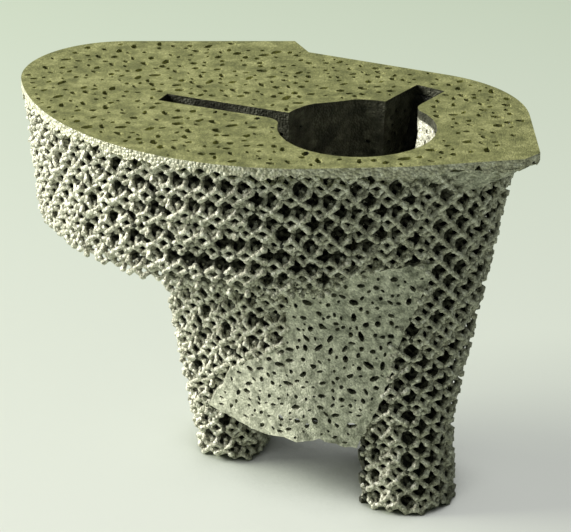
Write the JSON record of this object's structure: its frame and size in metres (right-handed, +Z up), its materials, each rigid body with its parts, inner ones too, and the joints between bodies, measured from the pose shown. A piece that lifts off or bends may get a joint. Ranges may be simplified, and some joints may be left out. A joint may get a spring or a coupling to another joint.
{
  "type": "tibial cone",
  "caption": "One-piece porous metal cone that fills a bone defect under a knee tray, with a wide stepped plate, a keel-shaped opening, a stem bore and an arched foot.",
  "frame": {"origin": "middle of the part's plan outline, at the level of the feet", "axes": "+Z up through the stem bore towards the tray, +X along the length of the top plate from the thick medial side to the lateral side, +Y from the front of the plate to its back"},
  "size_m": [0.0714, 0.0504, 0.054],
  "materials": {
    "porous_titanium": "granular as-printed titanium, matt, open lattice"
  },
  "bodies": {
    "root": {"tibial_cone": "porous_titanium"}
  },
  "joints": []
}
